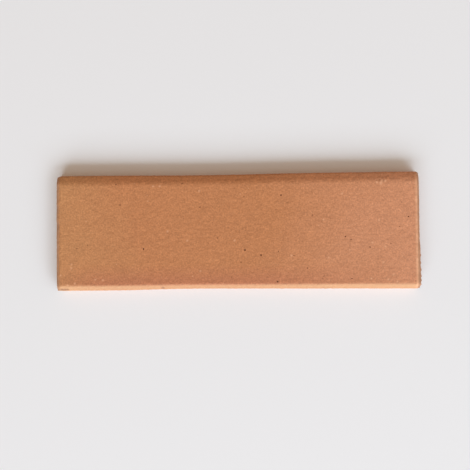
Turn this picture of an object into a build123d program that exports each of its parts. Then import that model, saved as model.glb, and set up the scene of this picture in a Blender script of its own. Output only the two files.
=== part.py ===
from build123d import *
import os

# Clinker skirting tile: one strip of fired clay, extruded in one section and wire-cut to length.
# It lies on its back. +X runs along the strip, +Y towards its bevelled top edge, +Z out of its face,
# and the origin is the middle of the back, on the surface that the tile lies on. Millimetres.

# Overall size of the fired tile
LENGTH = 250.0
HEIGHT = 80.0
THICKNESS = 10.0

# Top edge, as the extrusion die forms it: a shallow bevel that blends into the face and ends in a nose
TOP_BEVEL_WIDTH = 6.0
TOP_BEVEL_DROP = 2.3
TOP_BLEND_RADIUS = 11.0
TOP_NOSE_RADIUS = 2.0

# Rounding of the face along the floor, and the small chamfers along both edges of the back
FLOOR_EDGE_RADIUS = 4.5
BACK_EDGE_CHAMFER = 0.8

# Worn arris where the face meets the two wire-cut ends
END_ARRIS_RADIUS = 1.0

# Keying grooves that run the length of the back, for the adhesive bed
GROOVE_PITCH = 12.0
GROOVE_MOUTH_WIDTH = 6.0
GROOVE_DEPTH = 1.0
GROOVE_FLANK_ANGLE = 60.0
GROOVE_EDGE_LAND = 6.0

# As many grooves as fit between the plain lands beside the two long edges
groove_span = HEIGHT - 2 * GROOVE_EDGE_LAND - GROOVE_MOUTH_WIDTH
groove_count = int(groove_span / GROOVE_PITCH) + 1

with BuildPart() as skirting_tile:
    # The die's section: the sketch's X is the tile's height and its Y is the thickness
    with BuildSketch(Plane.YZ) as section:
        with BuildLine():
            Polyline(
                (-HEIGHT / 2, 0),
                (HEIGHT / 2, 0),
                (HEIGHT / 2, THICKNESS - TOP_BEVEL_DROP),
                (HEIGHT / 2 - TOP_BEVEL_WIDTH, THICKNESS),
                (-HEIGHT / 2, THICKNESS),
                close=True,
            )
        make_face()

        # Its corners: the back's two edges, the floor edge, the bevel's blend into the face and its nose
        chamfer(section.vertices().group_by(Axis.Y)[0], BACK_EDGE_CHAMFER)
        fillet(section.vertices().group_by(Axis.Y)[-1].sort_by(Axis.X)[0], FLOOR_EDGE_RADIUS)
        fillet(section.vertices().group_by(Axis.Y)[-1].sort_by(Axis.X)[-1], TOP_BLEND_RADIUS)
        fillet(section.vertices().group_by(Axis.X)[-1].sort_by(Axis.Y)[-1], TOP_NOSE_RADIUS)

        with GridLocations(GROOVE_PITCH, 0, groove_count, 1):
            Trapezoid(
                GROOVE_MOUTH_WIDTH,
                GROOVE_DEPTH,
                GROOVE_FLANK_ANGLE,
                align=(Align.CENTER, Align.MIN),
                mode=Mode.SUBTRACT,
            )
    extrude(amount=LENGTH / 2, both=True)

    # The two ends lose their sharp arris round the face and its long edges, but not at the back
    end_edges = skirting_tile.faces().filter_by(Axis.X).edges()
    back_reach = max(GROOVE_DEPTH, BACK_EDGE_CHAMFER)
    fillet(end_edges.filter_by(lambda edge: edge.center().Z > back_reach), END_ARRIS_RADIUS)

skirting_tile.part.label = "skirting_tile"

os.makedirs("parts", exist_ok=True)
export_step(skirting_tile.part, "parts/skirting_tile.step")
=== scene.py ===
import math
import random

import bmesh
import bpy
import numpy as np
from mathutils import Euler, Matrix, Vector, geometry, noise


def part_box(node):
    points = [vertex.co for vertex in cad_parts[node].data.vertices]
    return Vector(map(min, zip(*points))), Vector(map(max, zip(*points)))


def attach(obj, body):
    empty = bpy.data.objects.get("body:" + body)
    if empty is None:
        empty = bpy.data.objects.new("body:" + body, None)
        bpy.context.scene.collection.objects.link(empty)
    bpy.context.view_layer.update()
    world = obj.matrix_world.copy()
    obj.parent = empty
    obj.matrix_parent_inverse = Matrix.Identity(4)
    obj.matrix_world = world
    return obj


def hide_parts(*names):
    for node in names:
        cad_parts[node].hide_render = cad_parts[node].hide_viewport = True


# The looks of a clinker skirting tile: one strip of fired clay that lies on its back.
# +X runs along the strip, +Y towards its bevelled top edge and +Z out of its face. Metres.
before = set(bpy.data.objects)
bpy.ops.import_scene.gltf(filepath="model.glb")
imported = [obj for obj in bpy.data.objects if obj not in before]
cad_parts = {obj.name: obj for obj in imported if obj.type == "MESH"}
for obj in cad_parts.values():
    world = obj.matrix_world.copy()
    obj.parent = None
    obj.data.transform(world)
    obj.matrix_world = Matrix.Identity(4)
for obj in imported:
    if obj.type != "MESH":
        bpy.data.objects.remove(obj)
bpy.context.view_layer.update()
NODE = "skirting_tile"
BODY = "root"

# Overall size, from the frame
tile_low, tile_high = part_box(NODE)
LENGTH = tile_high.x - tile_low.x
HEIGHT = tile_high.y - tile_low.y
THICKNESS = tile_high.z - tile_low.z

# The die's section, as the part has it
TOP_BEVEL_WIDTH = 0.0060
TOP_BEVEL_DROP = 0.0023
TOP_BLEND_RADIUS = 0.011
TOP_NOSE_RADIUS = 0.002
FLOOR_EDGE_RADIUS = 0.0045
BACK_EDGE_CHAMFER = 0.0008
GROOVE_PITCH = 0.012
GROOVE_MOUTH_WIDTH = 0.006
GROOVE_DEPTH = 0.001
GROOVE_FLANK_ANGLE = math.radians(60)
GROOVE_COUNT = 6

# The slope that wear has cut across the floor edge's rounding
FLOOR_SLOPE_WIDTH = 0.0034
FLOOR_SLOPE_DROP = 0.0028
FLOOR_SLOPE_RADIUS = 0.003
FLOOR_NOSE_RADIUS = 0.0012

# Spacing of the mesh on the face, its shaped edges, its sides, the grooved back and the ends
FACE_STEP = 0.00066
ARC_STEP = 0.0005
SIDE_STEP = 0.001
BACK_STEP = 0.003
CAP_STEP = 0.0008
CAP_ROW_STEP = 0.0004
ARRIS_STEPS = 6
LEAST_ARC_STEPS = 3

# How the ends are filled: with faces inside the outline only, merging points this share of a step apart
CAP_FILL_INSIDE = 1
CAP_MERGE_SHARE = 1e-6

# The worn arris at the left end: how far it reaches along the tile and how deep it falls,
# and the share of that depth on the tile's top side and on its floor side
ARRIS_REACH = 0.0028
ARRIS_DEPTH = 0.0011
ARRIS_CURVE = 1.2
ARRIS_TOP_SHARE = 0.7
ARRIS_FLOOR_SHARE = 0.05
ARRIS_WEAR_LENGTH = 0.004
ARRIS_WEAR_SHARE = 0.25

# The ends' cuts are a little out of square:
# how far the top corner of each falls short of its floor corner
LEFT_CUT_SKEW = 0.0005
RIGHT_CUT_SKEW = 0.0003

# The torn arris at the right end, and the share of its depth on the tile's floor side
TORN_REACH = 0.0016
TORN_DEPTH = 0.0010
TORN_FLOOR_SHARE = 0.4

# The ragged lip that it grows into towards the floor edge: each swell has its share of the reach,
# and how far from the tile's middle it starts and is full
LIP_REACH = 0.0013
LIP_DEPTH = 0.0007
LIP_SWELLS = ((0.35, 0.005, 0.012), (0.06, 0.022, 0.030))
LIP_RAGGED_LENGTH = 0.0013
LIP_RAGGED_SHARE = 0.3

# Teeth of that lip, by the photograph's pixels across and down
LIP_TOOTH_PIXELS = ((420, 255.5), (420, 263), (420, 270), (420, 276), (420, 280.5), (420, 286))
LIP_TOOTH_SHARE = 0.45
LIP_TOOTH_REACH = 0.0013

# How the strip bent in the kiln: how far its long edges draw in, and where along the tile
FLOOR_WAIST = 0.0009
FLOOR_WAIST_START = -0.090
FLOOR_WAIST_X = -0.029
TOP_WAIST = 0.0006
TOP_WAIST_X = -0.022
TOP_WAIST_REACH = 0.085
RIPPLE_LENGTH = 0.012
RIPPLE_HEIGHT = 0.00007

# Relief of the skin: size of the lumps and their height
PEEL_LUMP = 0.0016
PEEL_HEIGHT = 0.00013
DIMPLE_LUMP = 0.0042
DIMPLE_HEIGHT = 0.00005

# Drag marks of the wire on the ends, in shape and colour, and of the die on the back,
# which is where the skin faces down by these shares
WIRE_LINE_WIDTH = 0.0011
WIRE_LINE_LENGTH = 0.011
WIRE_LINE_DEPTH = 0.00025
DIE_LINE_WIDTH = 0.0025
DIE_LINE_LENGTH = 0.03
DIE_LINE_DEPTH = 0.00008
BACK_FACING_SHARES = (0.5, 0.8)

# Seeds that make each kind of lumps its own
CHIP_SEED = 1.7
DIMPLE_SEED = 2.3
LEFT_ARRIS_SEED = 3.1
DIE_LINE_SEED = 4.9
LIP_SEED = 5.3
WIRE_LINE_SEED = 6.4
RIGHT_ARRIS_SEED = 7.7
RIPPLE_SEED = 8.2
CREST_HIGHLIGHT_SEED = 9.1

# The camera, as it stood over the tile
IMAGE_PIXELS = 470
FIELD_OF_VIEW = math.radians(48)
CAMERA_PLACE = Vector((0.00985, -0.0043, 0.3694))
CAMERA_TURN = Euler((math.radians(0.308), math.radians(1.792), math.radians(-0.57)))

# Pits in the face, by the photograph's pixels across and down
LARGE_PIT_WIDTH = 0.0014
LARGE_PIT_PIXELS = (
    (143.5, 249), (245, 250), (261, 255), (281, 195), (277.5, 281.5),
)
MEDIUM_PIT_WIDTH = 0.0011
MEDIUM_PIT_PIXELS = (
    (200, 207), (370, 247), (408.5, 216.5), (345.5, 236.5), (120, 205), (352, 278.5),
)
SMALL_PIT_WIDTH = 0.0009
SMALL_PIT_PIXELS = (
    (312.5, 215), (182, 183.5), (231.5, 277), (278.5, 251.5), (294, 255.5), (241, 262), (87.5, 245),
    (307.5, 268), (351, 239.5), (324, 276), (77, 248.5), (391, 243.5), (217.5, 238), (116, 184.5),
)
FAINT_PIT_WIDTH = 0.00068
FAINT_PIT_PIXELS = ((208.5, 243.5), (244, 196.5), (399.5, 226.5), (300, 217.5))

# Pin holes that are too small to place, scattered over the face
PIN_HOLE_COUNT = 90
PIN_HOLE_WIDTHS = (0.00025, 0.0005)
PIN_HOLE_SEED = 11

# Shape of a pit, as shares of its width, and how its walls are roughened
PIT_DEPTH_SHARE = 0.36
PIT_SINK_SHARE = 0.08
PIT_ROUND_SHARES = (0.7, 1.0)
PIT_ROUGH_SHARE = 0.22
PIT_LUMP_SCALE = 1.4
PIT_LUMP_SHIFT = 1000
PIT_FINENESS = 2

# Pale grains and the bright bruises of one scuff, by the photograph's pixels across and down
GRAIN_RADIUS = 0.0010
GRAIN_PIXELS = (
    (71.2, 268.3), (71.3, 264.5), (95.4, 279.4), (102.8, 280.2), (60.4, 275.5), (67.5, 285.6),
    (74.7, 283.6), (153, 186.2), (159.7, 186.2), (199, 191), (187, 240.8), (200.3, 271),
    (167.5, 231.5), (234.5, 240.5), (291.5, 255.5), (323.5, 219.5), (328.5, 257.5), (342.3, 193.5),
    (371.5, 278.5), (372.5, 242.5), (379.2, 220.2), (383.5, 262.5), (385.5, 246.5), (388.5, 279.5),
    (393.5, 274.5), (397.5, 281.5),
)
SCUFF_RADIUS = 0.0013
SCUFF_PIXELS = ((376.5, 182.2), (381.6, 180.5), (380.9, 182.2), (380.6, 183.9), (384.8, 180.9))

# Dents of that scuff and chips out of the floor edge, by the photograph's pixels across and down
DENT_LEVEL = 0.009
DENT_RADIUS = 0.0009
DENT_DEPTH = 0.0002
DENT_PIXELS = (
    (376.4, 180.1), (379.6, 179.5), (382.3, 177.7), (383.4, 180.3), (379.4, 176.3), (386, 176.3),
)
CHIP_LEVEL = 0.0079
CHIP_RADIUS = 0.0017
CHIP_RAGGED_LENGTH = CHIP_RADIUS / 2
CHIP_RAGGED_SHARE = 0.4
CHIP_DEPTH = 0.0002
CHIP_PIXELS = ((163, 287.6), (61.5, 289.7), (63, 289.6), (65, 289.6), (67.5, 289.7))

# Edges sharper than this show as edges
SHARP_ANGLE = math.radians(34)


# Placing by pixels

def pixel_aim(across, down):
    """The direction in which the camera sees a pixel."""
    focal = IMAGE_PIXELS / 2 / math.tan(FIELD_OF_VIEW / 2)
    aim = Vector((across - IMAGE_PIXELS / 2, IMAGE_PIXELS / 2 - down, -focal))
    aim.rotate(CAMERA_TURN)
    return aim.normalized()


def level_point(across, down, level):
    """The point at a height above the floor that the camera sees at a pixel."""
    aim = pixel_aim(across, down)
    return CAMERA_PLACE + aim * (level - CAMERA_PLACE.z) / aim.z


def spot_share(points, pixels, level, radius, axes=2):
    """1 at the middle of the spots that the camera sees at some pixels, falling to 0 at their radius."""
    share = np.zeros(points.shape[:-1])
    for across, down in pixels:
        gap = np.linalg.norm((points - np.array(level_point(across, down, level)))[..., :axes], axis=-1)
        share = np.maximum(share, 1 - ease(gap, 0.0, radius))
    return share


def chip_share(points):
    """1 at the middle of the chips in the floor edge, falling raggedly to 0 all round them."""
    ragged = 1 + CHIP_RAGGED_SHARE * lumps(points, CHIP_RAGGED_LENGTH, seed=CHIP_SEED)
    return np.clip(ragged * spot_share(points, CHIP_PIXELS, CHIP_LEVEL, CHIP_RADIUS, axes=3), 0.0, 1.0)


# Noise and blending

def lumps(points, size, seed=0.0):
    """Smooth noise from about -1 to 1 at each point, with lumps of that size along each axis."""
    scaled = np.asarray(points) / np.asarray(size) + seed
    return np.array([noise.noise(Vector(p)) for p in scaled.reshape(-1, 3)]).reshape(scaled.shape[:-1])


def ease(values, start, stop):
    """0 up to start, 1 from stop on, and a smooth rise between them."""
    share = np.clip((np.asarray(values) - start) / (stop - start), 0.0, 1.0)
    return share * share * (3 - 2 * share)


# The section's outline

def straight(start, stop, step):
    """Points from start up to stop, without stop, about a step apart."""
    start = np.array(start)
    stop = np.array(stop)
    count = max(1, round(np.linalg.norm(stop - start) / step))
    return [start + (stop - start) * i / count for i in range(count)]


def rounding(before, corner, after, radius):
    """Points of the arc that rounds a corner between two straight runs, both tangent points included."""
    corner = np.array(corner)
    back = (np.array(before) - corner) / np.linalg.norm(np.array(before) - corner)
    on = (np.array(after) - corner) / np.linalg.norm(np.array(after) - corner)
    half_angle = math.acos(back @ on) / 2
    turn = math.pi - 2 * half_angle
    centre = corner + (back + on) / np.linalg.norm(back + on) * radius / math.sin(half_angle)
    first = corner + back * radius / math.tan(half_angle) - centre
    last = corner + on * radius / math.tan(half_angle) - centre
    count = max(LEAST_ARC_STEPS, round(radius * turn / ARC_STEP))
    points = []
    for i in range(count + 1):
        share = i / count
        spoke = first * math.sin((1 - share) * turn) + last * math.sin(share * turn)
        points.append(centre + spoke / math.sin(turn))
    return points


def back_corners():
    """Corners of the grooved back, from the top edge to the floor edge."""
    flank = GROOVE_DEPTH / math.tan(GROOVE_FLANK_ANGLE)
    half_mouth = GROOVE_MOUTH_WIDTH / 2
    corners = [(HEIGHT / 2 - BACK_EDGE_CHAMFER, 0.0)]
    for i in range(GROOVE_COUNT):
        middle = GROOVE_PITCH * ((GROOVE_COUNT - 1) / 2 - i)
        corners.append((middle + half_mouth, 0.0))
        corners.append((middle + half_mouth - flank, GROOVE_DEPTH))
        corners.append((middle - half_mouth + flank, GROOVE_DEPTH))
        corners.append((middle - half_mouth, 0.0))
    corners.append((-HEIGHT / 2 + BACK_EDGE_CHAMFER, 0.0))
    return corners


def section_outline():
    """The section's points (y, z), from the floor side over the face and the top side to the back."""
    half = HEIGHT / 2
    floor_foot = (-half, BACK_EDGE_CHAMFER)
    slope_start = (-half, THICKNESS - FLOOR_SLOPE_DROP)
    slope_end = (-half + FLOOR_SLOPE_WIDTH, THICKNESS)
    bevel_start = (half - TOP_BEVEL_WIDTH, THICKNESS)
    bevel_end = (half, THICKNESS - TOP_BEVEL_DROP)
    top_foot = (half, BACK_EDGE_CHAMFER)
    floor_arc = rounding(floor_foot, slope_start, slope_end, FLOOR_NOSE_RADIUS)
    slope_arc = rounding(slope_start, slope_end, bevel_start, FLOOR_SLOPE_RADIUS)
    blend_arc = rounding(slope_end, bevel_start, bevel_end, TOP_BLEND_RADIUS)
    nose_arc = rounding(bevel_start, bevel_end, top_foot, TOP_NOSE_RADIUS)
    points = straight(floor_foot, floor_arc[0], SIDE_STEP) + floor_arc[:-1]
    points += straight(floor_arc[-1], slope_arc[0], ARC_STEP) + slope_arc[:-1]
    points += straight(slope_arc[-1], blend_arc[0], FACE_STEP) + blend_arc[:-1]
    points += straight(blend_arc[-1], nose_arc[0], ARC_STEP) + nose_arc[:-1]
    points += straight(nose_arc[-1], top_foot, SIDE_STEP)
    corners = [top_foot] + back_corners() + [floor_foot]
    for start, stop in zip(corners, corners[1:]):
        points += straight(start, stop, BACK_STEP)
    return np.array(points)


# The tile's mesh

def lip_share(points):
    """How far the torn lip stands out at points (y, z) of the right end, from 0 to 1."""
    y, z = points.T
    spots = np.c_[np.zeros(len(points)), points]
    grown = sum(share * ease(-y, start, full) for share, start, full in LIP_SWELLS)
    tooth_places = [level_point(across, down, THICKNESS).y for across, down in LIP_TOOTH_PIXELS]
    gaps = np.abs(y[:, None] - np.array(tooth_places)).min(axis=1)
    grown = grown + LIP_TOOTH_SHARE * (1 - ease(gaps, 0.0, LIP_TOOTH_REACH))
    grown = grown * (1 + LIP_RAGGED_SHARE * lumps(spots, LIP_RAGGED_LENGTH, seed=LIP_SEED))
    return np.clip(grown, 0.0, 1.0) * ease(z, THICKNESS / 2, THICKNESS)


def height_share(y):
    """0 at the floor edge, 1 at the top edge."""
    return y / HEIGHT + 1 / 2


def left_cut(y):
    """Where along the tile the wire cut its left end, at places across the tile."""
    return -LENGTH / 2 + LEFT_CUT_SKEW * height_share(y)


def right_cut(y):
    """Where along the tile the wire cut its right end, without the torn lip."""
    return LENGTH / 2 - LIP_REACH - RIGHT_CUT_SKEW * height_share(y)


def tile_rings(outline):
    """The skin as rings of the section along the tile: an array of rings, points and axes."""
    along = np.roll(outline, -1, axis=0) - np.roll(outline, 1, axis=0)
    along /= np.linalg.norm(along, axis=1)[:, None]
    outward = np.c_[-along[:, 1], along[:, 0]]
    off_back = ease(outline[:, 1], BACK_EDGE_CHAMFER, 2 * BACK_EDGE_CHAMFER)
    spots = np.c_[np.zeros(len(outline)), outline]
    left_wear = 1 + ARRIS_WEAR_SHARE * lumps(spots, ARRIS_WEAR_LENGTH, seed=LEFT_ARRIS_SEED)
    right_wear = 1 + ARRIS_WEAR_SHARE * lumps(spots, ARRIS_WEAR_LENGTH, seed=RIGHT_ARRIS_SEED)
    lip = lip_share(outline)
    left_end = left_cut(outline[:, 0])
    left_reach = ARRIS_REACH * left_wear
    upward = np.clip(outward[:, 1], 0.0, 1.0)
    side_share = np.where(outline[:, 0] > 0, ARRIS_TOP_SHARE, ARRIS_FLOOR_SHARE)
    left_depth = ARRIS_DEPTH * left_wear * off_back * (side_share + (1 - side_share) * upward)
    crest = right_cut(outline[:, 0]) - TORN_REACH * right_wear
    right_end = right_cut(outline[:, 0]) + LIP_REACH * lip
    torn_share = np.where(outline[:, 0] > 0, 1.0, TORN_FLOOR_SHARE)
    right_depth = (TORN_DEPTH * right_wear + LIP_DEPTH * lip) * off_back
    right_depth *= torn_share + (1 - torn_share) * upward

    def ring(x, inset):
        return np.c_[x, outline - outward * inset[:, None]]

    rings = []
    for i in range(ARRIS_STEPS):
        share = i / ARRIS_STEPS
        rings.append(ring(left_end + left_reach * share, left_depth * (1 - share) ** ARRIS_CURVE))
    start = left_end + left_reach
    count = round(LENGTH / FACE_STEP)
    flat = np.zeros(len(outline))
    for i in range(count + 1):
        rings.append(ring(start + (crest - start) * i / count, flat))
    for i in range(1, ARRIS_STEPS + 1):
        share = i / ARRIS_STEPS
        rings.append(ring(crest + (right_end - crest) * share, right_depth * share))
    return np.array(rings)


def ring_normals(rings):
    """Outward normals of the skin, from its neighbours along and round the tile."""
    along = np.gradient(rings, axis=0)
    around = np.roll(rings, -1, axis=1) - np.roll(rings, 1, axis=1)
    normals = np.cross(along, around)
    return normals / np.linalg.norm(normals, axis=2)[:, :, None]


def warp(points):
    """Bends the strip as the kiln did, inside its own box."""
    x, y, z = np.moveaxis(points, -1, 0)
    floor_draw = ease(x, FLOOR_WAIST_START, FLOOR_WAIST_X)
    floor_draw *= np.clip((LENGTH / 2 - x) / (LENGTH / 2 - FLOOR_WAIST_X), 0.0, 1.0)
    floor_side = -HEIGHT / 2 + FLOOR_WAIST * floor_draw
    top_side = HEIGHT / 2 - TOP_WAIST * (1 - ease(np.abs(x - TOP_WAIST_X), 0.0, TOP_WAIST_REACH))
    spots = np.stack([x, np.sign(y), 0 * x], axis=-1)
    ripple = RIPPLE_HEIGHT * lumps(spots, (RIPPLE_LENGTH, 1.0, 1.0), seed=RIPPLE_SEED)
    moved = floor_side + height_share(y) * (top_side - floor_side) + ripple
    return np.stack([x, moved, z], axis=-1)


def roughen(rings):
    """Presses the relief of fired clay into the skin, always inwards from the die's true shape."""
    normals = ring_normals(rings)
    back = ease(-normals[:, :, 2], *BACK_FACING_SHARES)
    peel = PEEL_HEIGHT * (lumps(rings, PEEL_LUMP) - 1)
    dimples = DIMPLE_HEIGHT * (lumps(rings, DIMPLE_LUMP, seed=DIMPLE_SEED) - 1)
    die_marks = (DIE_LINE_LENGTH, DIE_LINE_WIDTH, DIE_LINE_LENGTH)
    drag = DIE_LINE_DEPTH * (lumps(rings, die_marks, seed=DIE_LINE_SEED) - 1)
    depth = (peel + dimples) * (1 - back) + drag * back
    depth -= DENT_DEPTH * spot_share(rings, DENT_PIXELS, DENT_LEVEL, DENT_RADIUS) * (1 - back)
    depth -= CHIP_DEPTH * chip_share(rings)
    return rings + normals * depth[:, :, None]


def inside(points, outline):
    """Which points (y, z) lie inside the outline."""
    found = np.zeros(len(points), bool)
    for a, b in zip(outline, np.roll(outline, -1, axis=0)):
        crosses = (a[1] > points[:, 1]) != (b[1] > points[:, 1])
        slope = (b[0] - a[0]) / (b[1] - a[1]) if a[1] != b[1] else 0.0
        found ^= crosses & (points[:, 0] < a[0] + slope * (points[:, 1] - a[1]))
    return found


def cap(ring, side):
    """Closes one end: its new points, and triangles as places in the ring followed by the new points."""
    outline = ring[:, 1:]
    lowest, highest = outline.min(axis=0), outline.max(axis=0)
    columns = np.arange(lowest[0] + CAP_STEP, highest[0], CAP_STEP)
    rows = np.arange(lowest[1] + CAP_ROW_STEP, highest[1], CAP_ROW_STEP)
    grid = np.array([(y, z) for y in columns for z in rows])
    grid = grid[inside(grid, outline)]
    gaps = np.linalg.norm(grid[:, None] - outline[None], axis=2).min(axis=1)
    grid = grid[gaps > CAP_STEP / 2]
    flat = [Vector(p) / CAP_STEP for p in np.r_[outline, grid]]
    loop = [list(range(len(outline)))]
    filled = geometry.delaunay_2d_cdt(flat, [], loop, CAP_FILL_INSIDE, CAP_MERGE_SHARE)
    _, _, faces, sources, _, _ = filled
    faces = [[sources[i][0] for i in face] for face in faces]
    end = left_cut(grid[:, 0]) if side < 0 else right_cut(grid[:, 0])
    spots = np.c_[end, grid]
    marks = (WIRE_LINE_WIDTH, WIRE_LINE_LENGTH, WIRE_LINE_WIDTH)
    spots[:, 0] -= side * WIRE_LINE_DEPTH * (1 + lumps(spots, marks, seed=WIRE_LINE_SEED))
    return spots, faces


def tile_mesh():
    """The whole tile as one closed mesh."""
    rings = tile_rings(section_outline())
    ring_count, ring_size = rings.shape[:2]
    caps = [cap(rings[0], -1), cap(rings[-1], 1)]
    skin = roughen(warp(rings)).reshape(-1, 3)
    points = np.r_[skin, warp(caps[0][0]), warp(caps[1][0])]
    points = np.clip(points, tile_low, tile_high)
    faces = []
    for i in range(ring_count - 1):
        for j in range(ring_size):
            a = i * ring_size + j
            b = i * ring_size + (j + 1) % ring_size
            faces.append((a, b, b + ring_size, a + ring_size))
    new_start = ring_count * ring_size
    for ring_start, (spots, triangles) in zip((0, new_start - ring_size), caps):
        for face in triangles:
            faces.append([ring_start + i if i < ring_size else new_start + i - ring_size for i in face])
        new_start += len(spots)
    mesh = bpy.data.meshes.new("fired_skirting_tile")
    mesh.from_pydata(points.tolist(), [], faces)
    shape = bmesh.new()
    shape.from_mesh(mesh)
    bmesh.ops.recalc_face_normals(shape, faces=shape.faces)
    shape.to_mesh(mesh)
    shape.free()
    return mesh


# Pits

def pit_places(tile):
    """The point of the skin where each pit opens, and how wide it is."""
    bpy.context.view_layer.update()
    places = []
    tables = (
        (LARGE_PIT_PIXELS, LARGE_PIT_WIDTH),
        (MEDIUM_PIT_PIXELS, MEDIUM_PIT_WIDTH),
        (SMALL_PIT_PIXELS, SMALL_PIT_WIDTH),
        (FAINT_PIT_PIXELS, FAINT_PIT_WIDTH),
    )
    for pixels, width in tables:
        for across, down in pixels:
            _, spot, _, _ = tile.ray_cast(CAMERA_PLACE, pixel_aim(across, down))
            places.append((spot, width))
    chance = random.Random(PIN_HOLE_SEED)
    edge = 2 * LARGE_PIT_WIDTH
    wanted = len(places) + PIN_HOLE_COUNT
    while len(places) < wanted:
        x = chance.uniform(-LENGTH / 2 + edge, LENGTH / 2 - edge)
        y = chance.uniform(-HEIGHT / 2 + FLOOR_EDGE_RADIUS, HEIGHT / 2 - edge)
        width = chance.uniform(*PIN_HOLE_WIDTHS)
        _, spot, _, _ = tile.ray_cast(Vector((x, y, 2 * THICKNESS)), Vector((0, 0, -1)))
        if all((spot - other).length > width + other_width for other, other_width in places):
            places.append((spot, width))
    return places


def pit_cutter(tile, material):
    """One object of small rough hollows, to be cut out of the face."""
    shape = bmesh.new()
    chance = random.Random(PIN_HOLE_SEED)
    for spot, width in pit_places(tile):
        long_way = width / 2
        size = Vector((long_way, long_way * chance.uniform(*PIT_ROUND_SHARES), width * PIT_DEPTH_SHARE))
        turn = Euler((0, 0, chance.uniform(0, math.pi)))
        centre = spot - Vector((0, 0, width * PIT_SINK_SHARE))
        ball = bmesh.ops.create_icosphere(shape, subdivisions=PIT_FINENESS, radius=1)
        for vertex in ball["verts"]:
            lump = noise.noise(vertex.co * PIT_LUMP_SCALE + centre * PIT_LUMP_SHIFT)
            rough = 1 + PIT_ROUGH_SHARE * lump
            local = vertex.co * size * rough
            local.rotate(turn)
            vertex.co = centre + local
    mesh = bpy.data.meshes.new("pits")
    shape.to_mesh(mesh)
    shape.free()
    mesh.materials.append(material)
    cutter = bpy.data.objects.new("pits", mesh)
    bpy.context.collection.objects.link(cutter)
    return cutter


def cut_pits(tile, material):
    """Cuts the pits out of the tile and leaves it with a plain mesh."""
    cutter = pit_cutter(tile, material)
    cut = tile.modifiers.new("pits", "BOOLEAN")
    cut.operation = "DIFFERENCE"
    cut.solver = "MANIFOLD"
    cut.object = cutter
    cut.material_mode = "TRANSFER"
    bpy.context.view_layer.update()
    ready = tile.evaluated_get(bpy.context.evaluated_depsgraph_get())
    whole = bpy.data.meshes.new_from_object(ready)
    tile.modifiers.clear()
    tile.data = whole
    bpy.data.objects.remove(cutter)


# Raw clay and painted shade at the left end's arris: a band with a soft edge, and a fainter reach of
# painted shade beyond it
RAW_SHADED_BAND = 0.0018
RAW_SHADED_FADE = 0.0004
RAW_SHADED_REACH = 0.0040
RAW_SHADED_SHARE = 0.3

# Painted shade in the dents, and darker brown on the torn lip and in the chips
DENT_SHADE_SHARE = 0.4
LIP_DARKENING_SHARE = 0.5
CHIP_DARKENING_SHARE = 0.5

# Pale wear and a painted highlight along the lit floor edge, and its share on the side below it
WEAR_AND_HIGHLIGHT_LEAD = 0.0004
WEAR_AND_HIGHLIGHT_REACH = 0.0019
SIDE_WEAR_AND_HIGHLIGHT_SHARE = 0.6

# Where the torn clay of the right end starts, and the painted highlight in patches along its crest
TORN_EDGE = 0.0003
CREST_HIGHLIGHT_OFFSET = 0.0006
CREST_HIGHLIGHT_REACH = 0.0012
CREST_HIGHLIGHT_TOP_SHARE = 0.7
CREST_HIGHLIGHT_PATCH_SHARE = 0.9
CREST_HIGHLIGHT_PATCH_LENGTH = 0.0028


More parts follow.
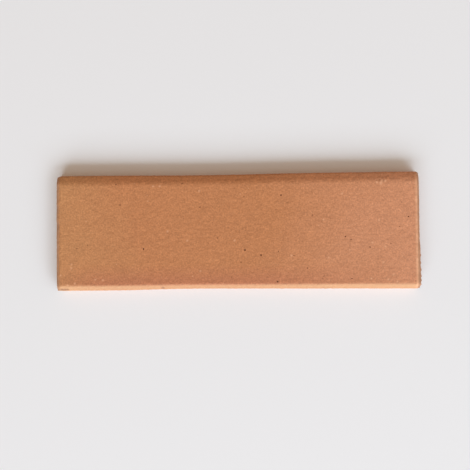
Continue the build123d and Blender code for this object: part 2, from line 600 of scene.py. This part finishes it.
def paint(tile):
    """Stores on each point how raw, how worn and how bruised the clay is there, with painted shade at
    the left arris and in the dents and painted highlights along the floor edge and the right end's
    crest.
    """
    mesh = tile.data
    points = np.zeros(len(mesh.vertices) * 3, np.float32)
    mesh.vertices.foreach_get("co", points)
    points = points.reshape(-1, 3).astype(float)
    x, y, z = points.T
    face_side = ease(z, THICKNESS / 2, THICKNESS)
    crest = right_cut(y) - TORN_REACH
    from_end = x - left_cut(y)
    across_end = points * np.array((0, 1, 1))
    left_wear = 1 + ARRIS_WEAR_SHARE * lumps(across_end, ARRIS_WEAR_LENGTH, seed=LEFT_ARRIS_SEED)
    # Raw clay and painted shade along the left arris, fading further in
    raw_and_shade = 1 - ease(from_end - RAW_SHADED_BAND * left_wear, -RAW_SHADED_FADE, RAW_SHADED_FADE)
    raw_and_shade = np.maximum(raw_and_shade, RAW_SHADED_SHARE * (1 - ease(from_end, 0.0, RAW_SHADED_REACH)))
    chipped = chip_share(points)
    raw_and_shade = np.maximum(raw_and_shade, chipped)
    # Painted shade in the dents, and darker brown on the torn lip and in the chips
    darkening = DENT_SHADE_SHARE * spot_share(points, DENT_PIXELS, DENT_LEVEL, DENT_RADIUS) * face_side
    darkening = np.maximum(darkening, LIP_DARKENING_SHARE * ease(x - right_cut(y), 0.0, LIP_REACH))
    darkening = np.maximum(darkening, CHIP_DARKENING_SHARE * chipped)
    torn = ease(x - crest, -TORN_EDGE, TORN_EDGE)
    # Paler towards the floor edge: wear, and a painted highlight where the rounding faces the light
    past_face = -HEIGHT / 2 + FLOOR_EDGE_RADIUS - y
    wear_and_highlight = ease(past_face, -WEAR_AND_HIGHLIGHT_LEAD, WEAR_AND_HIGHLIGHT_REACH) * (1 - raw_and_shade)
    wear_and_highlight *= SIDE_WEAR_AND_HIGHLIGHT_SHARE + (1 - SIDE_WEAR_AND_HIGHLIGHT_SHARE) * face_side
    # A painted highlight in patches along the right end's crest
    highlight_patches = 1 + CREST_HIGHLIGHT_PATCH_SHARE * lumps(across_end, CREST_HIGHLIGHT_PATCH_LENGTH, seed=CREST_HIGHLIGHT_SEED)
    highlight_patches *= 1 - (1 - CREST_HIGHLIGHT_TOP_SHARE) * ease(y, -HEIGHT / 4, HEIGHT / 4)
    pale_and_highlight = highlight_patches * (1 - ease(np.abs(x - crest + CREST_HIGHLIGHT_OFFSET), 0.0, CREST_HIGHLIGHT_REACH))
    pale_and_highlight = np.maximum(pale_and_highlight, spot_share(points, GRAIN_PIXELS, THICKNESS, GRAIN_RADIUS))
    pale_and_highlight = np.maximum(pale_and_highlight, spot_share(points, SCUFF_PIXELS, DENT_LEVEL, SCUFF_RADIUS))
    marks = {"raw_and_shade": raw_and_shade, "torn": torn, "wear_and_highlight": wear_and_highlight, "pale_and_highlight": pale_and_highlight * face_side, "darkening": darkening}
    for name, values in marks.items():
        layer = mesh.attributes.new(name, "FLOAT", "POINT")
        layer.data.foreach_set("value", values.astype(np.float32))


# Materials

def add_node(material, kind, values=None, **settings):
    """A node with its settings and its sockets' values, where a value may be another node's output."""
    tree = material.node_tree
    node = tree.nodes.new(kind)
    for name, setting in settings.items():
        setattr(node, name, setting)
    for socket, value in (values or {}).items():
        if isinstance(value, bpy.types.NodeSocket):
            tree.links.new(value, node.inputs[socket])
        else:
            node.inputs[socket].default_value = value
    return node


def clay_noise(material, place, size, detail=2.0, rough=0.5):
    """Noise with features of that size in metres, from 0 to 1."""
    values = {"Vector": place, "Scale": 1 / size, "Detail": detail, "Roughness": rough}
    return add_node(material, "ShaderNodeTexNoise", values).outputs["Fac"]


def stepped(material, value, start, stop, low=0.0, high=1.0):
    """A value moved from one range to another, and kept inside it."""
    values = {"Value": value, "From Min": start, "From Max": stop, "To Min": low, "To Max": high}
    return add_node(material, "ShaderNodeMapRange", values).outputs["Result"]


# Places of the colour sockets on a mix node
MIX_FIRST = 6
MIX_SECOND = 7
MIX_RESULT = 2


def mixed(material, share, first, second, blend="MIX"):
    """Two colours mixed by a share."""
    values = {"Factor": share, MIX_FIRST: first, MIX_SECOND: second}
    node = add_node(material, "ShaderNodeMix", values, data_type="RGBA", blend_type=blend)
    return node.outputs[MIX_RESULT]


def product(material, first, second):
    """Two values multiplied."""
    return add_node(material, "ShaderNodeMath", {0: first, 1: second}, operation="MULTIPLY").outputs[0]


def attribute(material, name):
    """A value that paint stored on the points."""
    return add_node(material, "ShaderNodeAttribute", attribute_name=name).outputs["Fac"]


# Specks of iron and pale grit: spacing, strength, which cells hold one, and its soft edge
IRON_SPACING = 0.0032
IRON_SHARE = 0.55
GRIT_SPACING = 0.0043
GRIT_SHARE = 0.6
SPECK_CELL_SHARES = (0.78, 0.82)
SPECK_EDGE_SHARES = (0.06, 0.14)


def specks(material, place, spacing, share):
    """Up to that share inside small specks in about one of five cells of that spacing, 0 elsewhere."""
    cells = add_node(material, "ShaderNodeTexVoronoi", {"Vector": place, "Scale": 1 / spacing})
    chosen = stepped(material, cells.outputs["Color"], *SPECK_CELL_SHARES)
    near = stepped(material, cells.outputs["Distance"], *SPECK_EDGE_SHARES, share, 0.0)
    return product(material, chosen, near)


# Colours of the clay
CLAY_LEFT = (0.526, 0.244, 0.102, 1)
CLAY_MIDDLE = (0.520, 0.212, 0.088, 1)
# Lighter than the left and the middle by painted light from the right
CLAY_RIGHT_PAINTED_LIGHTER = (0.610, 0.270, 0.146, 1)
CLAY_FLASH = (0.473, 0.170, 0.090, 1)
# Raw clay, darkened by painted shade of the left arris
CLAY_RAW_AND_SHADED = (0.425, 0.224, 0.126, 1)
CLAY_TORN = (0.435, 0.217, 0.122, 1)
# Worn clay, paler by a painted highlight of the lit floor edge
CLAY_WORN_AND_LIT = (0.59, 0.325, 0.166, 1)
# Pale grit and grains, and the painted highlight on the right end's crest
CLAY_PALE_AND_HIGHLIGHT = (0.81, 0.43, 0.25, 1)
# Iron specks, and also the painted shade in the dents
IRON_AND_SHADE_DARK = (0.20, 0.08, 0.04, 1)
PIT_DARK = (0.13, 0.05, 0.026, 1)

# Flashing, with painted light that lightens the clay towards the right end: how far its edges wander
# along the tile, and where the middle's clay is pure
FLASH_AND_LIGHT_NOISE = {"size": 0.05}
FLASH_AND_LIGHT_DRIFT = 0.06
MIDDLE_START = -0.07
MIDDLE_END = 0.02

# The redder band above the floor edge: how high it is full and gone, and how it fades at both ends
BAND_FULL_HEIGHT = 0.003
BAND_GONE_HEIGHT = 0.018
BAND_SHARE = 0.75
BAND_LEFT_X = -0.095
BAND_LEFT_SHARE = 0.2
BAND_FADE_START = 0.02
BAND_FADE_END = 0.1
BAND_RIGHT_SHARE = 0.15

# Mottling and sandy grain: the part of the noise that counts, and how far it shades the clay
NOISE_SHARES = (0.25, 0.75)
MOTTLE_NOISE = {"size": 0.006, "detail": 3.0}
MOTTLE_SHARES = (0.95, 1.05)
SPECKLE_NOISE = {"size": 0.0021, "detail": 1.0}
SPECKLE_SHARES = (0.93, 1.07)
SAND_NOISE = {"size": 0.0011, "detail": 3.0, "rough": 0.6}
SAND_SHARES = (0.76, 1.24)

# Lines that the wire combed into the ends
COMB_SCALE = (1.0, 0.12, 1.0)
COMB_NOISE = {"size": WIRE_LINE_WIDTH, "detail": 4.0, "rough": 0.65}
COMB_NOISE_SHARES = (0.3, 0.7)
COMB_SHARES = (0.78, 1.22)

# How unevenly the worn and the pale clay show, painted highlights included
BREAKUP_NOISE = {"size": 0.0016, "detail": 3.0, "rough": 0.6}
BREAKUP_NOISE_SHARES = (0.35, 0.65)
WORN_AND_LIT_SHARES = (0.6, 0.95)
PALE_NOISE_SHARES = (0.2, 0.8)
PALE_SHARES = (0.7, 1.0)

# Gloss and the finest relief
CLAY_ROUGHNESS_SHARES = (0.62, 0.76)
CLAY_REFRACTION = 1.5
CLAY_GLOSS_SHARE = 0.3
RELIEF_NOISE = {"size": 0.0008, "detail": 3.0, "rough": 0.65}
RELIEF_SHARE = 0.6
RELIEF_DEPTH = 0.00022


def fired_clay():
    """Unglazed clinker: flashed, mottled and sandy, with iron specks, worn arrises and raw ends, and
    painted light: lighter towards the right end, highlights on the floor edge and the right crest, shade
    at the left arris and in the dents.
    """
    material = bpy.data.materials.new("fired_clay")
    material.use_nodes = True
    shader = material.node_tree.nodes["Principled BSDF"]
    place = add_node(material, "ShaderNodeTexCoord").outputs["Object"]
    spot = add_node(material, "ShaderNodeSeparateXYZ", {0: place})

    # Broad flashing of the kiln from end to end, lightened towards the right end by painted light, and a
    # redder band along the floor edge
    broad = clay_noise(material, place, **FLASH_AND_LIGHT_NOISE)
    wander = {0: broad, 1: FLASH_AND_LIGHT_DRIFT, 2: -FLASH_AND_LIGHT_DRIFT / 2}
    drift = add_node(material, "ShaderNodeMath", wander, operation="MULTIPLY_ADD")
    length = add_node(material, "ShaderNodeMath", {0: spot.outputs["X"], 1: drift.outputs[0]}).outputs[0]
    from_left = stepped(material, length, -LENGTH / 2, MIDDLE_START)
    colour = mixed(material, from_left, CLAY_LEFT, CLAY_MIDDLE)
    # Lighter towards the right end: painted light
    to_right_lightened = stepped(material, length, MIDDLE_END, LENGTH / 2)
    colour = mixed(material, to_right_lightened, colour, CLAY_RIGHT_PAINTED_LIGHTER)
    band_full = -HEIGHT / 2 + BAND_FULL_HEIGHT
    band_gone = -HEIGHT / 2 + BAND_GONE_HEIGHT
    band = stepped(material, spot.outputs["Y"], band_full, band_gone, BAND_SHARE, 0.0)
    fade = stepped(material, spot.outputs["X"], BAND_FADE_START, BAND_FADE_END, 1.0, BAND_RIGHT_SHARE)
    start = stepped(material, spot.outputs["X"], -LENGTH / 2, BAND_LEFT_X, BAND_LEFT_SHARE, 1.0)
    colour = mixed(material, product(material, band, product(material, start, fade)), colour, CLAY_FLASH)

    # Mottling and sandy grain
    mottle = clay_noise(material, place, **MOTTLE_NOISE)
    mottle = stepped(material, mottle, *NOISE_SHARES, *MOTTLE_SHARES)
    colour = mixed(material, 1.0, colour, mottle, "MULTIPLY")
    speckle = clay_noise(material, place, **SPECKLE_NOISE)
    speckle = stepped(material, speckle, *NOISE_SHARES, *SPECKLE_SHARES)
    colour = mixed(material, 1.0, colour, speckle, "MULTIPLY")
    sand = clay_noise(material, place, **SAND_NOISE)
    grain = stepped(material, sand, *NOISE_SHARES, *SAND_SHARES)
    colour = mixed(material, 1.0, colour, grain, "MULTIPLY")

    # Iron specks and pale grit, few and small
    colour = mixed(material, specks(material, place, IRON_SPACING, IRON_SHARE), colour, IRON_AND_SHADE_DARK)
    colour = mixed(material, specks(material, place, GRIT_SPACING, GRIT_SHARE), colour, CLAY_PALE_AND_HIGHLIGHT)

    # Raw and torn ends that the wire combed, with painted shade at the left arris; worn arrises with a
    # painted highlight on the floor edge; pale grains, and a painted highlight on the right crest
    across = add_node(material, "ShaderNodeMapping", {"Vector": place, "Scale": COMB_SCALE}).outputs[0]
    combed = clay_noise(material, across, **COMB_NOISE)
    combed = stepped(material, combed, *COMB_NOISE_SHARES, *COMB_SHARES)
    raw_and_shaded_clay = mixed(material, 1.0, CLAY_RAW_AND_SHADED, combed, "MULTIPLY")
    torn_clay = mixed(material, 1.0, CLAY_TORN, combed, "MULTIPLY")
    breakup = clay_noise(material, place, **BREAKUP_NOISE)
    breakup = stepped(material, breakup, *BREAKUP_NOISE_SHARES)
    # Raw clay and painted shade at the left arris
    colour = mixed(material, attribute(material, "raw_and_shade"), colour, raw_and_shaded_clay)
    # Wear and a painted highlight along the floor edge
    wear_and_highlight = attribute(material, "wear_and_highlight")
    worn_and_lit = product(material, wear_and_highlight, stepped(material, breakup, 0.0, 1.0, *WORN_AND_LIT_SHARES))
    colour = mixed(material, worn_and_lit, colour, CLAY_WORN_AND_LIT)
    colour = mixed(material, attribute(material, "torn"), colour, torn_clay)
    # Pale grains and scuff, and the painted highlight on the right crest
    pale_and_highlight = attribute(material, "pale_and_highlight")
    pale_and_highlight = product(material, pale_and_highlight, stepped(material, breakup, *PALE_NOISE_SHARES, *PALE_SHARES))
    colour = mixed(material, pale_and_highlight, colour, CLAY_PALE_AND_HIGHLIGHT)
    # Painted shade in the dents, and darker brown on the torn lip and in the chips
    colour = mixed(material, attribute(material, "darkening"), colour, IRON_AND_SHADE_DARK)
    link = material.node_tree.links.new
    link(colour, shader.inputs["Base Color"])

    # Gloss and the finest relief
    roughness = stepped(material, sand, *NOISE_SHARES, *CLAY_ROUGHNESS_SHARES)
    link(roughness, shader.inputs["Roughness"])
    shader.inputs["IOR"].default_value = CLAY_REFRACTION
    shader.inputs["Specular IOR Level"].default_value = CLAY_GLOSS_SHARE
    fine = clay_noise(material, place, **RELIEF_NOISE)
    bump = {"Height": fine, "Strength": RELIEF_SHARE, "Distance": RELIEF_DEPTH}
    relief = add_node(material, "ShaderNodeBump", bump)
    link(relief.outputs["Normal"], shader.inputs["Normal"])
    return material


# Soot in the pits, and the paler rim of each
SOOT_NOISE = {"size": 0.0004, "detail": 3.0}
SOOT_NOISE_SHARES = (0.3, 0.7)
PIT_RIM_DEPTH = 0.0009
PIT_RIM_SHARE = 0.8
PIT_ROUGHNESS_SHARE = 0.85


def burnt_pit():
    """The dark inside of a pit, where iron or grit burnt out, paler towards its rim."""
    material = bpy.data.materials.new("burnt_pit")
    material.use_nodes = True
    shader = material.node_tree.nodes["Principled BSDF"]
    place = add_node(material, "ShaderNodeTexCoord").outputs["Object"]
    level = add_node(material, "ShaderNodeSeparateXYZ", {0: place}).outputs["Z"]
    soot = clay_noise(material, place, **SOOT_NOISE)
    colour = mixed(material, stepped(material, soot, *SOOT_NOISE_SHARES), PIT_DARK, IRON_AND_SHADE_DARK)
    rim = stepped(material, level, THICKNESS - PIT_RIM_DEPTH, THICKNESS, 0.0, PIT_RIM_SHARE)
    colour = mixed(material, rim, colour, CLAY_MIDDLE)
    material.node_tree.links.new(colour, shader.inputs["Base Color"])
    shader.inputs["Roughness"].default_value = PIT_ROUGHNESS_SHARE
    return material


# The floor's colour and gloss
FLOOR_COLOUR = (0.83, 0.838, 0.866, 1)
FLOOR_ROUGHNESS_SHARE = 0.9
FLOOR_GLOSS_SHARE = 0.2


def pale_floor():
    """A plain pale matt floor."""
    material = bpy.data.materials.new("pale_floor")
    material.use_nodes = True
    shader = material.node_tree.nodes["Principled BSDF"]
    shader.inputs["Base Color"].default_value = FLOOR_COLOUR
    shader.inputs["Roughness"].default_value = FLOOR_ROUGHNESS_SHARE
    shader.inputs["Specular IOR Level"].default_value = FLOOR_GLOSS_SHARE
    return material


# The piece

def make_tile():
    """The tile with its pits, marks and material, riding where the CAD node is."""
    tile = bpy.data.objects.new("fired_skirting_tile", tile_mesh())
    bpy.context.collection.objects.link(tile)
    tile.data.materials.append(fired_clay())
    cut_pits(tile, burnt_pit())
    paint(tile)
    tile.data.shade_smooth()
    tile.data.set_sharp_from_angle(angle=SHARP_ANGLE)
    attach(tile, BODY)
    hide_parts(NODE)


# Floor, light and backdrop
FLOOR_SIZE = 6.0
LAMP_DISTANCE = 6.0
KEY_LEAN = math.radians(6)
KEY_HEIGHT_ANGLE = math.radians(27)
KEY_SIZE = (9.6, 3.0)
KEY_POWER = 640.0
KEY_COLOUR = (0.764, 0.895, 1.0)
SIDE_LEAN = math.radians(58)
SIDE_HEIGHT_ANGLE = math.radians(32)
SIDE_SIZE = (6.8, 3.2)
SIDE_POWER = 112.0
SIDE_COLOUR = (0.821, 0.924, 1.0)
FILL_COLOUR = (0.415, 0.30, 0.205, 1)
BACKDROP_COLOUR = (0.8, 0.8, 0.805, 1)


def make_floor():
    """The floor that the tile lies on."""
    half = FLOOR_SIZE / 2
    mesh = bpy.data.meshes.new("floor")
    corners = [(-half, -half, 0), (half, -half, 0), (half, half, 0), (-half, half, 0)]
    mesh.from_pydata(corners, [], [(0, 1, 2, 3)])
    mesh.materials.append(pale_floor())
    floor = bpy.data.objects.new("floor", mesh)
    bpy.context.collection.objects.link(floor)


def make_lamp(name, lean, height_angle, size, power, colour):
    """One wide soft lamp that leans from the floor edge's side towards the right end."""
    data = bpy.data.lights.new(name, "AREA")
    data.shape = "RECTANGLE"
    data.size, data.size_y = size
    data.energy = power
    data.color = colour
    lamp = bpy.data.objects.new(name, data)
    level = math.cos(height_angle)
    aim = Vector((math.sin(lean) * level, -math.cos(lean) * level, math.sin(height_angle)))
    lamp.location = aim * LAMP_DISTANCE
    lamp.rotation_euler = aim.to_track_quat("Z", "Y").to_euler()
    lamp.visible_camera = False
    bpy.context.collection.objects.link(lamp)


def make_world():
    """Even warm fill light, and a pale backdrop that only the camera and reflections see."""
    world = bpy.data.worlds.new("studio")
    world.use_nodes = True
    bpy.context.scene.world = world
    tree = world.node_tree
    fill = tree.nodes["Background"]
    fill.inputs["Color"].default_value = FILL_COLOUR
    backdrop = tree.nodes.new("ShaderNodeBackground")
    backdrop.inputs["Color"].default_value = BACKDROP_COLOUR
    path = tree.nodes.new("ShaderNodeLightPath")
    seen = path.outputs["Is Camera Ray"]
    for kind in ("Is Glossy Ray", "Is Transmission Ray"):
        either = tree.nodes.new("ShaderNodeMath")
        either.operation = "MAXIMUM"
        tree.links.new(seen, either.inputs[0])
        tree.links.new(path.outputs[kind], either.inputs[1])
        seen = either.outputs[0]
    choose = tree.nodes.new("ShaderNodeMixShader")
    tree.links.new(seen, choose.inputs[0])
    tree.links.new(fill.outputs[0], choose.inputs[1])
    tree.links.new(backdrop.outputs[0], choose.inputs[2])
    tree.links.new(choose.outputs[0], tree.nodes["World Output"].inputs["Surface"])


def make_camera():
    """The camera that looks down on the tile."""
    data = bpy.data.cameras.new("camera")
    data.lens = data.sensor_width / 2 / math.tan(FIELD_OF_VIEW / 2)
    camera = bpy.data.objects.new("camera", data)
    camera.location = CAMERA_PLACE
    camera.rotation_euler = CAMERA_TURN
    bpy.context.collection.objects.link(camera)
    bpy.context.scene.camera = camera


make_tile()
make_floor()
make_lamp("key", KEY_LEAN, KEY_HEIGHT_ANGLE, KEY_SIZE, KEY_POWER, KEY_COLOUR)
make_lamp("side", SIDE_LEAN, SIDE_HEIGHT_ANGLE, SIDE_SIZE, SIDE_POWER, SIDE_COLOUR)
make_world()
make_camera()
bpy.context.scene.view_settings.view_transform = "Standard"
